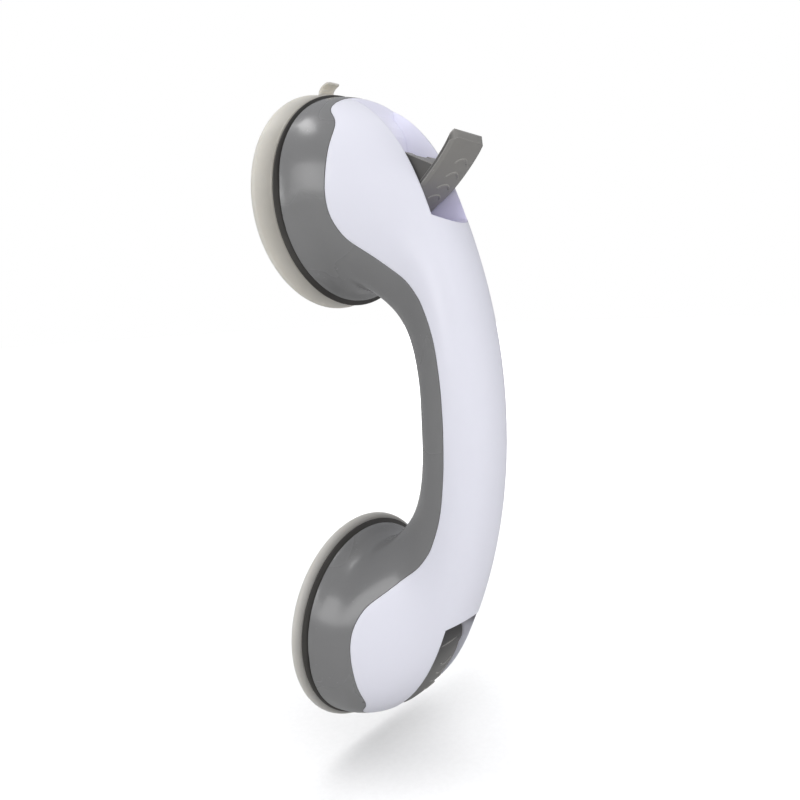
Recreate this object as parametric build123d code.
from build123d import *
import math
import os

# Suction grab bar, in millimetres.  +Z is the long axis, the wall is the plane
# y = 0 and the grip stands out towards -Y.  Shapes are built about the middle of
# the bar and lifted on export, so that the origin is the centre of the locked
# lower cup.  The upper cup is released with its lever open, the lower is locked.

UPPER, LOWER = 1, -1    # an end is the sign of its z
ENDS = {UPPER: "upper", LOWER: "lower"}

# Body surface
CUP_Z = 98.4            # distance of each cup axis from the middle
BASE_Y = -5.0           # plane in which the hollow body ends
GRIP_FRONT = 75.51      # crest of the grip, ahead of the base plane
BODY_HALF = 143.56      # half length of the body's outer curve
GRIP_BACK = 40.78       # back of the grip, ahead of the base plane
BODY_BACK = 59.84       # half length of the body's inner curve
OUTER_POWER = 1.894     # exponents of the outer and inner curves
INNER_POWER = 2.288
WIDTH_STEP = 22.5       # degrees between the half widths, from 0 at the grip to 90
HALF_WIDTHS = [17.46, 17.00, 20.15, 36.05, 45.10]
GRIP_SQUARENESS = 2.206     # exponent of the grip section, 2 is an ellipse
SHOULDER_EGG = 0.137    # egg shape of the shoulder sections
# angles of the sections along the bar, 0 at the middle and 90 at the base
ANGLES = [0, 7.5, 15, 22.5, 30, 37.5, 45, 52, 58.5, 64.5, 70, 74.5, 78.5, 82, 85, 87.5, 90]
FINE_COUNT = 720        # points round a section before they are spaced evenly
SECTION_COUNT = 40      # evenly spaced points round a section

# Shells
WALL = 2.6              # wall thickness of both shells
INNER_CLEARANCE = 0.3   # gap between the cover and what stands inside it
SEAM_GAP = 0.24         # open line between the two shells
CUTTER_HALF = 70        # half width of cutting shapes wider than the body
CUTTER_FRONT = -130     # y of their front, ahead of the body
FOOT_R = 44.7           # round foot of the body, concentric with each cup
FOOT_Y = -6.3           # plane in which the foot is cut off
FOOT_ROUND = 0.7        # rounding of the foot's outer edge
FLARE_Y = -20.0         # height where the shoulder starts to flare out to the foot
FLARE_END_Y = FOOT_Y - 0.3
FLARE_R = 45.1
RING_IN_R, RING_R = 40.8, 46.6      # dark ring between foot and cup
RING_Y1 = -4.7
FLOOR_Y0, FLOOR_Y1 = -24.0, -21.0   # front and wall side of the floor
RIB_ZS = (-34.0, 0.0, 34.0)
RIB_HALF = 1.0

# Mechanism
LIFT = 4.5              # travel of the stem
OPEN_ANGLE = 84.0       # swing of a lever
PIVOT_OPEN = -38.3      # y of the lever pin, lever open
PIVOT_SHUT = PIVOT_OPEN - LIFT
PIVOT_Y = {UPPER: PIVOT_OPEN, LOWER: PIVOT_SHUT}
DISC_OPEN = -4.9        # wall side of the stem's foot disc
DISC_Y = {UPPER: DISC_OPEN, LOWER: DISC_OPEN - LIFT}
CAM_SHUT = 13.8         # pin to bearing plate, lever shut
CAM_K = LIFT / math.radians(OPEN_ANGLE)     # cam rise per radian
PLATE_TOP = PIVOT_SHUT + CAM_SHUT
PLATE_T = 1.4
# half width, reach from the cup axis towards the middle, reach towards the end
TOWER_SIZE = (11.2, 11.8, 10.4)
WINDOW_SIZE = (11.3, 11.95, 10.55)
PLATE_SIZE = (11.1, 11.7, 10.3)
PIN_R = 2.0
PIN_HOLE_R = PIN_R + 0.05
CLIP_GROOVE_R = 1.5
ROD_R = 4.8
SPRING_WIRE_R, SPRING_R, SPRING_TURNS = 0.7, 9.7, 4.0
SCREW_AT = [(-26.0, 96.0), (26.0, 96.0), (0.0, 69.0)]   # (x, |z|)
SCREW_HEAD_Y = FLOOR_Y1 + 0.02

# Levers
SLOT_HALF = 12.4        # lever slot in the front cover
SLOT_END = {UPPER: 86.2, LOWER: 88.0}   # |z| of the slot's inner end
SLOT_BULGE = 3.0        # depth of the rounded inner end of the slot
SLOT_WALL = 2.0
LEVER_HALF = 11.3
RIDGE = 1.5             # width of the chamfer along the paddle's edges
PADDLE_T = 3.5
LEVER_TIP = 133.0
CRESCENTS = (111.5, 116.6, 121.7, 126.8)    # z of the finger crescents
CRESCENT_X = 1.0
CHEEK_IN, CHEEK_OUT = 5.3, 10.6
PIN_SEAT_X, PIN_SEAT_R = 9.0, 3.6

# Seam between the shells: (|z|, y)
SEAM = [
    (0, -64.8), (8.2, -64.6), (16.5, -64.2), (24.5, -63.3), (32.6, -62.1),
    (40.8, -60.0), (48.0, -57.2), (52.2, -55.2), (56.5, -52.3), (60.9, -48.6),
    (65.6, -43.0), (70.2, -37.9), (74.6, -33.1), (78.5, -29.3), (82.6, -27.2),
    (87.0, -25.9), (92.0, -25.4), (97.0, -25.5), (102.0, -25.9), (108.0, -26.3),
    (114.0, -26.4), (119.0, -26.4), (123.6, -25.8), (127.2, -23.9), (130.4, -21.0),
    (133.6, -18.9), (138.0, -17.8), (150.0, -17.6),
]
# Side outlines of the bucket round the lever slot and of the slot: (|z|, y)
BUCKET = [
    (80.8, -26.6), (120.0, -26.5), (124.5, -25.8), (128.5, -23.8),
    (134.0, -19.4), (143.0, -18.6), (143.0, -70), (80.8, -70),
]
SLOT = [
    (80, -28.6), (120.0, -28.5), (124.5, -27.9), (128.5, -26.0),
    (134.0, -21.4), (160.0, -19.6), (160.0, -75), (80, -75),
]
# Depth of the paddle below the body's crest, deepest at its root: (z, depth)
PADDLE_SINK = [
    (99.0, 5.9), (103.0, 4.8), (107.0, 3.7), (111.0, 2.9), (116.0, 2.2),
    (120.0, 1.8), (124.0, 1.4), (128.0, 0.9), (132.0, 0.35), (136.0, -0.3),
]
PADDLE_ZS = [100.5, 103.5, 107.0, 111.0, 115.0, 119.0, 123.0, 127.0, 130.5, 134.5]
# Lever hub outline and the gap between its cheeks, from the pin: (dy, dz)
CAM_BOTTOM = CAM_SHUT - 0.02
HUB_CURVE = [(-1.4, -8.9), (-4.8, -7.9), (-6.9, -5.7), (-8.0, -2.7), (-8.3, 0.5), (-7.9, 3.2)]
HUB_CORNERS = [
    HUB_CURVE[-1], (-5.5, 7.6), (2.7, 22.2), (4.6, 22.8), (12.2, 10.7), (13.3, 9.2),
    (CAM_BOTTOM, 8.6), (CAM_BOTTOM, CAM_K),
]
CHEEK_GAP = [(20, -14), (20, 14), (3.0, 6.4), (-6.4, 6.4), (-6.4, -14)]

# Released cup, a deep saucer whose skirt stands off towards the wall: (radius, y)
CUP_OPEN = [
    (0, -4.85), (19.3, -4.85), (20.4, -5.9), (22.2, -5.6), (24.5, -4.2), (38.0, -4.05),
    (45.4, -4.2), (46.4, -3.9), (46.8, -2.6), (47.1, -0.2), (47.5, 2.6), (47.9, 5.4),
    (48.05, 6.6), (47.9, 7.2), (47.3, 7.35), (46.6, 6.7), (45.5, 4.0), (43.9, 1.7),
    (40.6, 0.2), (30.0, -0.3), (0, -0.4),
]
# Locked cup, its rim flat on the wall and its middle drawn off it: (radius, y)
CUP_SHUT = [
    (0, -9.35), (19.3, -9.35), (20.4, -10.4), (22.2, -10.1), (24.5, -8.9), (29.5, -7.1),
    (33.2, -5.5), (35.4, -4.65), (43.0, -4.58), (46.0, -4.5), (47.3, -4.0), (48.3, -2.8),
    (48.75, -1.3), (48.6, -0.3), (47.6, 0.0), (43.0, 0.0), (41.0, -0.25), (36.0, -1.3),
    (30.0, -3.2), (24.0, -4.7), (14.0, -5.2), (0, -5.3),
]
CUP_OUTLINE = {UPPER: CUP_OPEN, LOWER: CUP_SHUT}
# Pull tab: (root y, tip y, turn about the cup axis in degrees)
CUP_TAB = {UPPER: (5.4, 0.6, -3.0), LOWER: (-1.9, -6.0, -60.0)}
TAB_HALF = 4.6


# --------------------------- helpers ---------------------------------------
def box(x0, x1, y0, y1, z0, z1):
    """Box between two corners; z0 and z1 may come in either order."""
    centre = Pos((x0 + x1) / 2, (y0 + y1) / 2, (z0 + z1) / 2)
    return centre * Box(x1 - x0, y1 - y0, abs(z1 - z0))


def tower_box(end, size, y0, y1):
    half, inward, outward = size
    return box(-half, half, y0, y1, end * (CUP_Z - inward), end * (CUP_Z + outward))


def rod_y(x, z, radius, y0, y1):
    return Pos(x, (y0 + y1) / 2, z) * (Rot(90, 0, 0) * Cylinder(radius, y1 - y0))


def rod_x(y, z, radius, x0, x1):
    return Pos((x0 + x1) / 2, y, z) * (Rot(0, 90, 0) * Cylinder(radius, x1 - x0))


def lines(points):
    return [Line(start, stop) for start, stop in zip(points, points[1:])]


def cup_axis(end):
    return Axis((0, 0, end * CUP_Z), (0, 1, 0))


def turned_edges(edges, end):
    """Closed outline in (radius, y), turned about the cup axis."""
    plane = Plane(origin=(0, 0, end * CUP_Z), x_dir=(1, 0, 0), z_dir=(0, 0, 1))
    return revolve(plane * make_face(edges), cup_axis(end), 360)


def turned(points, end):
    return turned_edges(Polyline(*points, close=True), end)


def side(points):
    """(z, y) points in the local axes of side_prism, whose second axis is -Y."""
    return [(z, -y) for z, y in points]


def side_prism(edges, half_width):
    plane = Plane(origin=(-half_width, 0, 0), x_dir=(0, 0, 1), z_dir=(1, 0, 0))
    return extrude(plane * make_face(edges), 2 * half_width)


def side_block(points, half_width, end=UPPER):
    """Prism on a closed (|z|, y) polygon at one end of the bar."""
    outline = side([(end * z, y) for z, y in points])
    return side_prism(Polyline(*outline, close=True), half_width)


def plan(points):
    """(x, z) points in the local axes of plan_prism, whose second axis is -Z."""
    return [(x, -z) for x, z in points]


def plan_prism(edges):
    """Prism on a plan outline, from y = -80 to the wall plane."""
    plane = Plane(origin=(0, 0, 0), x_dir=(1, 0, 0), z_dir=(0, 1, 0))
    return Pos(0, -80, 0) * extrude(plane * make_face(edges), 80)


def solid_of(shape):
    """The largest solid of a shape."""
    if isinstance(shape, Solid):
        return shape
    return max(shape.solids(), key=lambda s: s.volume)


# --------------------------- body surface ----------------------------------
def section_half_width(angle):
    """Cubic spline through HALF_WIDTHS, flat at 0 and without curvature at 90 degrees."""
    step, last = WIDTH_STEP, len(HALF_WIDTHS) - 1
    slopes = [(b - a) / step for a, b in zip(HALF_WIDTHS, HALF_WIDTHS[1:])]
    pivots, sums = [2 * step], [6 * slopes[0]]
    for i in range(1, last):
        factor = step / pivots[-1]
        pivots.append(4 * step - factor * step)
        sums.append(6 * (slopes[i] - slopes[i - 1]) - factor * sums[-1])
    bends = [0.0] * (last + 1)      # second derivatives at the knots
    for i in reversed(range(last)):
        bends[i] = (sums[i] - step * bends[i + 1]) / pivots[i]
    i = min(int(angle / step), last - 1)
    after = angle - i * step
    before = step - after
    return ((bends[i] * before ** 3 + bends[i + 1] * after ** 3) / (6 * step)
            + (HALF_WIDTHS[i] / step - bends[i] * step / 6) * before
            + (HALF_WIDTHS[i + 1] / step - bends[i + 1] * step / 6) * after)


def signed_power(value, exponent):
    return math.copysign(abs(value) ** exponent, value)


def flare(x, y, z, inset):
    """Lean the skirt out so that the oval shoulder lands on a circle round the cup axis."""
    if y + BASE_Y <= FLARE_Y or z <= 0:
        return x, z
    share = min((y + BASE_Y - FLARE_Y) / (FLARE_END_Y - FLARE_Y), 1.0)
    radius = math.hypot(x, z - CUP_Z)
    dir_x, dir_z = x / radius, (z - CUP_Z) / radius
    oval_x = HALF_WIDTHS[-1] - inset
    oval_z = (BODY_HALF - BODY_BACK) / 2 - inset
    offset = (BODY_HALF + BODY_BACK) / 2 - CUP_Z
    # distance from the cup axis to the oval in this direction, as a quadratic's root
    a = (dir_x / oval_x) ** 2 + (dir_z / oval_z) ** 2
    b = -2 * dir_z * offset / oval_z ** 2
    c = (offset / oval_z) ** 2 - 1
    oval = (-b + math.sqrt(b * b - 4 * a * c)) / (2 * a)
    grow = max(FLARE_R - inset - oval, 0.0) * share * share
    return x + dir_x * grow, z + dir_z * grow


def section_points(angle, end, inset):
    """Evenly spaced points down the +X half of one section of the body."""
    turn = math.radians(angle)
    cosine, sine = math.cos(turn), math.sin(turn)
    outer_y = -GRIP_FRONT * cosine ** (2 / OUTER_POWER)
    outer_z = BODY_HALF * sine ** (2 / OUTER_POWER)
    inner_y = -GRIP_BACK * cosine ** (2 / INNER_POWER)
    inner_z = BODY_BACK * sine ** (2 / INNER_POWER)
    depth = math.hypot(outer_y - inner_y, outer_z - inner_z)
    dir_y, dir_z = (outer_y - inner_y) / depth, (outer_z - inner_z) / depth
    half_depth = depth / 2 - inset
    mid_y, mid_z = (outer_y + inner_y) / 2, (outer_z + inner_z) / 2
    half_width = section_half_width(angle) - inset
    exponent = 2 / (GRIP_SQUARENESS + (2 - GRIP_SQUARENESS) * angle / 90)
    egg = SHOULDER_EGG * math.sin(2 * turn)

    fine = []
    for i in range(FINE_COUNT):
        around = 2 * math.pi * i / FINE_COUNT
        along = signed_power(math.cos(around), exponent)
        across = signed_power(math.sin(around), exponent)
        x = half_width * across * (1 + egg * along)
        y = mid_y + dir_y * half_depth * along
        z = mid_z + dir_z * half_depth * along
        x, z = flare(x, y, z, inset)
        fine.append((x, y, z))
    fine.append(fine[0])
    run = [0.0]
    for start, stop in zip(fine, fine[1:]):
        run.append(run[-1] + math.dist(start, stop))

    points = []
    last = SECTION_COUNT // 2
    j = 0
    for i in range(last + 1):
        target = run[-1] * i / SECTION_COUNT
        while run[j + 1] < target:
            j += 1
        share = (target - run[j]) / (run[j + 1] - run[j])
        x, y, z = [p + share * (q - p) for p, q in zip(fine[j], fine[j + 1])]
        # the first and last points lie on the middle plane
        points.append(Vector(0 if i in (0, last) else x, y + BASE_Y, end * z))
    return points


def body_solid(inset):
    """Half surface through the sections, mirrored and closed at the base."""
    stations = [(angle, LOWER) for angle in reversed(ANGLES[1:])]
    stations += [(angle, UPPER) for angle in ANGLES]
    grid = [section_points(angle, end, inset) for angle, end in stations]
    right = Face.make_surface_from_array_of_points(grid, tol=1e-2, min_deg=3, max_deg=3)
    left = right.mirror(Plane.YZ)
    caps = []
    for end in ENDS:
        rim = [e for f in (right, left) for e in f.edges()
               if abs((e @ 0.5).Y - BASE_Y) < 1e-3 and (e @ 0.5).Z * end > 0]
        caps.append(Face(Wire(rim)))
    return Solid(Shell([right, left] + caps))


def crown(z):
    """y of the body's crest at height z, on the middle plane."""
    return BASE_Y - GRIP_FRONT * (1 - (z / BODY_HALF) ** OUTER_POWER) ** (1 / OUTER_POWER)


def seam_region(shift):
    """Everything in front of the seam, with the seam moved by shift in y."""
    both_ends = [(-z, y) for z, y in reversed(SEAM[1:])] + SEAM
    curve = Spline(*side([(z, y + shift) for z, y in both_ends]))
    far_z, far_y = SEAM[-1][0], SEAM[-1][1] + shift
    frame = side([(far_z, far_y), (far_z, CUTTER_FRONT),
                  (-far_z, CUTTER_FRONT), (-far_z, far_y)])
    return side_prism([curve] + lines(frame), CUTTER_HALF)


# --------------------------- shells ----------------------------------------
outer = body_solid(0.0)
inner = body_solid(WALL)
inner_tight = body_solid(WALL + INNER_CLEARANCE)
shell = outer - inner
cover_side = seam_region(-SEAM_GAP / 2)
cover_side_wide = seam_region(SEAM_GAP / 2)


def rear_housing():
    floors = (box(-60, 60, FLOOR_Y0, FLOOR_Y1, 50, 126)
              + box(-60, 60, FLOOR_Y0, FLOOR_Y1, -126, -50))
    rear = shell + (outer & floors)
    # the foot is cut off square and its outer edge rounded over
    flat_r, round_y = FOOT_R - FOOT_ROUND, FOOT_Y - FOOT_ROUND
    rounding = [ThreePointArc((flat_r, FOOT_Y), (FOOT_R - 0.2, FOOT_Y - 0.2), (FOOT_R, round_y))]
    rounding += lines([(FOOT_R, round_y), (60, round_y), (60, FOOT_Y + 1),
                       (flat_r, FOOT_Y + 1), (flat_r, FOOT_Y)])
    for end in ENDS:
        rear = rear - turned([(0, FOOT_Y), (60, FOOT_Y), (60, 5), (0, 5)], end)
        rear = rear - turned_edges(rounding, end)
    rear = rear - (cover_side_wide - inner_tight)

    for end in ENDS:
        # bearing tower in front of the floor
        rear = rear + tower_box(end, TOWER_SIZE, PLATE_TOP + PLATE_T, FLOOR_Y0)
        # socket ring that centres the return spring under the floor
        rear = rear + turned([(11.6, FLOOR_Y1), (13.4, FLOOR_Y1),
                              (13.4, FLOOR_Y1 + 3), (11.6, FLOOR_Y1 + 3)], end)
        rear = rear - rod_y(0, end * CUP_Z, ROD_R + 0.08, -40, -10)
        for x, z in SCREW_AT:
            rear = rear - rod_y(x, end * z, 1.7, -40, -10)

    # ribs that stiffen the hollow grip, kept clear of the front cover
    for z in RIB_ZS:
        z0, z1 = z - RIB_HALF, z + RIB_HALF
        rib = inner_tight & box(-30, 30, -90, -40, z0, z1)
        rib = rib - box(-CUTTER_HALF, CUTTER_HALF, CUTTER_FRONT, -68.0 + abs(z) * 0.07,
                        z - 5, z + 5)
        rib_foot = outer & box(-30, 30, -56.5, -40, z0, z1)
        rear = rear + rib + rib_foot
    return solid_of(rear)


def slot_mouth(end):
    """Plan of the lever slot, with its rounded inner end."""
    start = SLOT_END[end]
    corners = [(-SLOT_HALF, 160), (-SLOT_HALF, start), (0, start - SLOT_BULGE),
               (SLOT_HALF, start), (SLOT_HALF, 160)]
    p = plan([(x, end * z) for x, z in corners])
    return plan_prism([Line(p[0], p[1]), ThreePointArc(*p[1:4]),
                       Line(p[3], p[4]), Line(p[4], p[0])])


def front_cover():
    cover = shell & cover_side
    for end in ENDS:
        # bucket: side walls, end wall and floor of the lever slot
        bucket = side_block(BUCKET, SLOT_HALF + SLOT_WALL, end)
        bucket = (bucket & outer) & cover_side
        cover = cover + bucket
        # the slot's floor slopes towards the wall under the lever tip
        cover = cover - (side_block(SLOT, SLOT_HALF, end) & slot_mouth(end))
        # window in the slot floor for the bearing tower
        cover = cover - tower_box(end, WINDOW_SIZE, -30, -20)
        for x, z in SCREW_AT:
            boss = rod_y(x, end * z, 3.8, -75, FLOOR_Y0 - 0.12) & outer
            cover = cover + boss
            cover = cover - rod_y(x, end * z, 1.55, -36.5, -10)
    return solid_of(cover)


# --------------------------- levers ----------------------------------------
def lever_top(z):
    (z0, sink0), (z1, sink1) = next(
        pair for pair in zip(PADDLE_SINK, PADDLE_SINK[1:]) if z <= pair[1][0])
    return crown(z) + sink0 + (sink1 - sink0) * (z - z0) / (z1 - z0)


def lever_frame(z):
    """Point on the paddle's middle line, unit vectors into the body and along the paddle."""
    reach = 1.5
    slope = (lever_top(z + reach) - lever_top(z - reach)) / (2 * reach)
    norm = math.hypot(1, slope)
    return (Vector(0, lever_top(z), z), Vector(0, 1 / norm, -slope / norm),
            Vector(0, slope / norm, 1 / norm))


def paddle_section(z):
    origin, inward, _ = lever_frame(z)

    def point(x, depth):
        return Vector(x, 0, 0) + origin + inward * depth

    half, flat = LEVER_HALF, LEVER_HALF - RIDGE
    crest = [point(x, 1.0 * abs(x / flat) ** 2) for x in (-flat, -flat / 2, 0, flat / 2, flat)]
    corners = [point(x, depth) for x, depth in [
        (flat, 1.0), (half, 2.1), (half - 0.3, PADDLE_T),
        (-half + 0.3, PADDLE_T), (-half, 2.1), (-flat, 1.0)]]
    return Wire([Edge.make_spline(crest)]
                + [Edge.make_line(a, b) for a, b in zip(corners, corners[1:])])


def paddle_mask():
    """Plan of the paddle, with its rounded tip."""
    half, tip = LEVER_HALF + 0.5, LEVER_TIP
    p = plan([(-half, 95), (half, 95), (half, tip - 4.6),
              (half - 1.7, tip - 1.6), (half - 5.0, tip - 0.3), (0, tip),
              (-half + 5.0, tip - 0.3), (-half + 1.7, tip - 1.6), (-half, tip - 4.6)])
    return plan_prism([Line(p[0], p[1]), Line(p[1], p[2]), ThreePointArc(*p[2:5]),
                       ThreePointArc(*p[4:7]), ThreePointArc(*p[6:9]), Line(p[8], p[0])])


def from_pin(points):
    """(y, z) offsets from the shut pin, as (z, y) points."""
    return [(CUP_Z + dz, PIVOT_SHUT + dy) for dy, dz in points]


def shut_lever():
    """Upper lever, shut: a gently crowned strap with chamfered edges, and its hub."""
    paddle = Solid.make_loft([paddle_section(z) for z in PADDLE_ZS], False)
    paddle = paddle & paddle_mask()
    # raised finger crescents across the paddle
    crescent = Torus(4.4, 0.38) & Pos(0, 6.2, 0) * Box(14, 8, 4)
    for z in CRESCENTS:
        origin, inward, along = lever_frame(z)
        origin = origin + Vector(CRESCENT_X, 0, 0) + inward * 0.05 - along * 3.4
        paddle = paddle + Plane(origin=origin, x_dir=(1, 0, 0), z_dir=inward * -1) * crescent
    # hub with the two cam cheeks
    cam = []
    for degrees in range(0, 91, 5):
        a = math.radians(degrees)
        height = CAM_BOTTOM - CAM_K * a
        cam.append((height * math.cos(a) + CAM_K * math.sin(a),
                    -height * math.sin(a) + CAM_K * math.cos(a)))
    edges = [Spline(*side(from_pin(cam))), Spline(*side(from_pin([cam[-1]] + HUB_CURVE)))]
    edges += lines(side(from_pin(HUB_CORNERS)))
    lever = side_prism(edges, CHEEK_OUT) + paddle
    # gap between the cheeks for the stem, and the pin hole
    lever = lever - side_block(from_pin(CHEEK_GAP), CHEEK_IN)
    lever = lever - rod_x(PIVOT_SHUT, CUP_Z, PIN_HOLE_R, -20, 20)
    # seats for the pin head and its clip
    lever = lever - rod_x(PIVOT_SHUT, CUP_Z, PIN_SEAT_R, PIN_SEAT_X, 20)
    lever = lever - rod_x(PIVOT_SHUT, CUP_Z, PIN_SEAT_R, -20, -PIN_SEAT_X)
    return solid_of(lever)


def place_lever(lever, end):
    """Swing the upper lever open about its pin, or mirror the shut one to the lower end."""
    if end == LOWER:
        return solid_of(lever.mirror(Plane.XY))
    pin_axis = Axis((0, PIVOT_SHUT, CUP_Z), (1, 0, 0))
    return solid_of(Pos(0, LIFT, 0) * lever.rotate(pin_axis, OPEN_ANGLE))


# --------------------------- mechanism -------------------------------------
def pivot_pin(end):
    y, z = PIVOT_Y[end], end * CUP_Z
    pin = rod_x(y, z, PIN_R, -10.9, 10.4) + rod_x(y, z, 3.3, -11.0, -9.15)
    groove = rod_x(y, z, 4, 9.55, 10.15) - rod_x(y, z, CLIP_GROOVE_R, 9.5, 10.2)
    return solid_of(pin - groove)


def pin_clip(end):
    y, z = PIVOT_Y[end], end * CUP_Z
    clip = rod_x(y, z, 3.2, 9.6, 10.1) - rod_x(y, z, CLIP_GROOVE_R + 0.05, 9.5, 10.2)
    return solid_of(clip - box(9.5, 10.2, y, y + 5, z - 1.1, z + 1.1))


def foot_ring(end):
    """Dark bearing ring between the body's foot and the cup's shoulder."""
    front, back = FOOT_Y + 0.02, RING_Y1
    low, rim = (RING_R - 0.5, back - 0.75), (RING_R - 0.15, back)
    edges = lines([(RING_IN_R, front), (FOOT_R - 1.0, front), low])
    edges += [ThreePointArc(low, (RING_R - 0.05, back - 0.4), rim)]
    edges += lines([rim, (RING_IN_R, back), (RING_IN_R, front)])
    return solid_of(turned_edges(edges, end))


def stem(end):
    """Flattened rod from the lever pin to a foot disc in the cup."""
    y_pin, disc_y, z = PIVOT_Y[end], DISC_Y[end], end * CUP_Z
    rod = rod_y(0, z, ROD_R, y_pin, disc_y - 1.0) + rod_x(y_pin, z, ROD_R, -ROD_R, ROD_R)
    rod = rod & (box(-4.7, 4.7, -70, -20, z - 20, z + 20)
                 + box(-30, 30, -20, 10, z - 40, z + 40))
    rod = rod + turned([(0, disc_y - 4.2), (7.4, disc_y - 4.2), (9.0, disc_y - 2.6),
                        (18.0, disc_y - 2.2), (19.0, disc_y - 1.4),
                        (19.0, disc_y), (0, disc_y)], end)
    return solid_of(rod - rod_x(y_pin, z, PIN_HOLE_R, -20, 20))


def return_spring(end):
    y0 = FLOOR_Y1 + 0.9 + SPRING_WIRE_R
    height = DISC_Y[end] - 2.75 - SPRING_WIRE_R - y0
    helix = Helix(pitch=height / SPRING_TURNS, height=height, radius=SPRING_R)
    profile = Plane(origin=helix @ 0, z_dir=helix % 0) * Circle(SPRING_WIRE_R)
    coil = sweep(profile, path=helix, is_frenet=True)
    return solid_of(Pos(0, y0, end * CUP_Z) * (Rot(-90, 0, 0) * coil))


def spring_washer(end):
    y0, y1 = FLOOR_Y1 + 0.02, FLOOR_Y1 + 0.82
    return solid_of(turned([(5.3, y0), (11.3, y0), (11.3, y1), (5.3, y1)], end))


def cam_plate(end):
    plate = tower_box(end, PLATE_SIZE, PLATE_TOP, PLATE_TOP + PLATE_T)
    plate = fillet(plate.edges().filter_by(Axis.Y), 2.0)
    return solid_of(plate - rod_y(0, end * CUP_Z, ROD_R + 0.4, -40, -10))


def cover_screws(end):
    long, short = 1.7, 0.35     # half length and half width of the cross recess
    y0, y1 = FLOOR_Y1 + 0.9, FLOOR_Y1 + 3
    screws = []
    for x, z in SCREW_AT:
        z = end * z
        screw = (rod_y(x, z, 1.45, -34.5, FLOOR_Y1 + 0.05)
                 + rod_y(x, z, 3.1, SCREW_HEAD_Y, FLOOR_Y1 + 2.2))
        for half_x, half_z in ((long, short), (short, long)):
            screw = screw - box(x - half_x, x + half_x, y0, y1, z - half_z, z + half_z)
        screws.append(solid_of(screw))
    return Compound(screws)


# --------------------------- suction cups ----------------------------------
def suction_cup(end):
    """Cup with a flap on its rim that bends away from the wall."""
    root_y, tip_y, turn = CUP_TAB[end]
    outline = [(46.9, root_y + 1.0), (50.6, root_y + 0.5), (52.6, root_y - 1.2),
               (53.4, tip_y), (52.2, tip_y - 0.5), (50.9, root_y - 1.6),
               (49.4, root_y - 1.2), (46.9, root_y - 1.2)]     # (radius, y)
    tab = side_block([(CUP_Z + radius, y) for radius, y in outline], TAB_HALF)
    if end == LOWER:
        tab = tab.mirror(Plane.XY)
    tab = tab.rotate(cup_axis(end), turn)
    return solid_of(solid_of(turned(CUP_OUTLINE[end], end)) + tab)


# --------------------------- export ----------------------------------------
END_PARTS = {
    "pivot_pin": pivot_pin,
    "pin_clip": pin_clip,
    "foot_ring": foot_ring,
    "stem": stem,
    "return_spring": return_spring,
    "spring_washer": spring_washer,
    "cam_plate": cam_plate,
    "cover_screws": cover_screws,
    "suction_cup": suction_cup,
}

nodes = {"rear_housing": rear_housing(), "front_cover": front_cover()}
lever_shut = shut_lever()
for end, end_name in ENDS.items():
    nodes[f"{end_name}_lever"] = place_lever(lever_shut, end)
    for part_name, build in END_PARTS.items():
        nodes[f"{end_name}_{part_name}"] = build(end)

os.makedirs("parts", exist_ok=True)
for name, shape in nodes.items():
    shape = Pos(0, 0, CUP_Z) * shape
    shape.label = name
    export_step(shape, f"parts/{name}.step")
